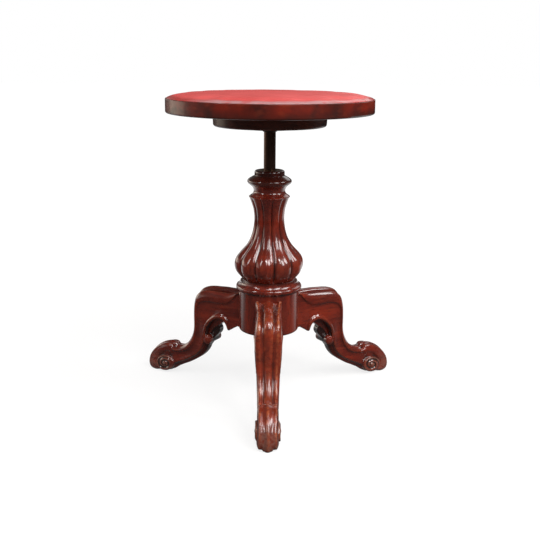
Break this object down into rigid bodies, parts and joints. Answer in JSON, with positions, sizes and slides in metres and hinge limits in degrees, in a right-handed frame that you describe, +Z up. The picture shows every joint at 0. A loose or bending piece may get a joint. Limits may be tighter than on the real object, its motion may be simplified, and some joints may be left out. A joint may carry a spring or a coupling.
{
  "type": "revolving piano stool",
  "caption": "Round-topped revolving piano stool: domed red leather seat in a mahogany rim on a screw spindle, fluted baluster column, drum hub and three scroll legs.",
  "frame": {"origin": "on the column's axis at floor level, between the three feet", "axes": "+Z up along the column and the seat's screw; -Y towards the front leg; +X to the right seen from the front"},
  "size_m": [0.4502, 0.4273, 0.5146],
  "materials": {
    "mahogany": "french polished",
    "board_pine": "bare sawn",
    "red_leather": "smooth, satin",
    "horsehair_felt": "felted",
    "dark_steel": "oiled and darkened",
    "cast_iron": "blackened",
    "brass": "aged",
    "screw_steel": "dull"
  },
  "bodies": {
    "base": {"hub": "mahogany", "column": "mahogany", "guide_bush": "brass", "bush_screws": "brass", "thread_nut": "brass", "nut_screws": "screw_steel", "leg_front": "mahogany", "leg_left": "mahogany", "leg_right": "mahogany", "base_spider": "cast_iron", "spider_screws": "screw_steel"},
    "stop": {"stop_washer": "dark_steel"},
    "seat": {"seat_rim": "mahogany", "seat_board": "board_pine", "rim_screws": "screw_steel", "seat_padding": "horsehair_felt", "seat_cover": "red_leather", "seat_block": "mahogany", "block_screws": "screw_steel", "screw_flange": "cast_iron", "flange_screws": "screw_steel", "spindle": "dark_steel", "spindle_pin": "dark_steel", "end_nut": "dark_steel", "cotter": "dark_steel"}
  },
  "joints": [
    {"name": "seat_rise", "type": "slide", "parent": "base", "child": "stop", "axis": [0, 0, 1], "range_m": [-0.0552, 0.0452]},
    {"name": "seat_turn", "type": "hinge", "parent": "stop", "child": "seat", "pos_m": [0, 0, 0.45], "axis": [0, 0, 1], "range_deg": [-3960, 3240]}
  ],
  "couplings": [
    {"joint": "seat_rise", "follows": "seat_turn", "m_per_rad": 0.00079577}
  ]
}
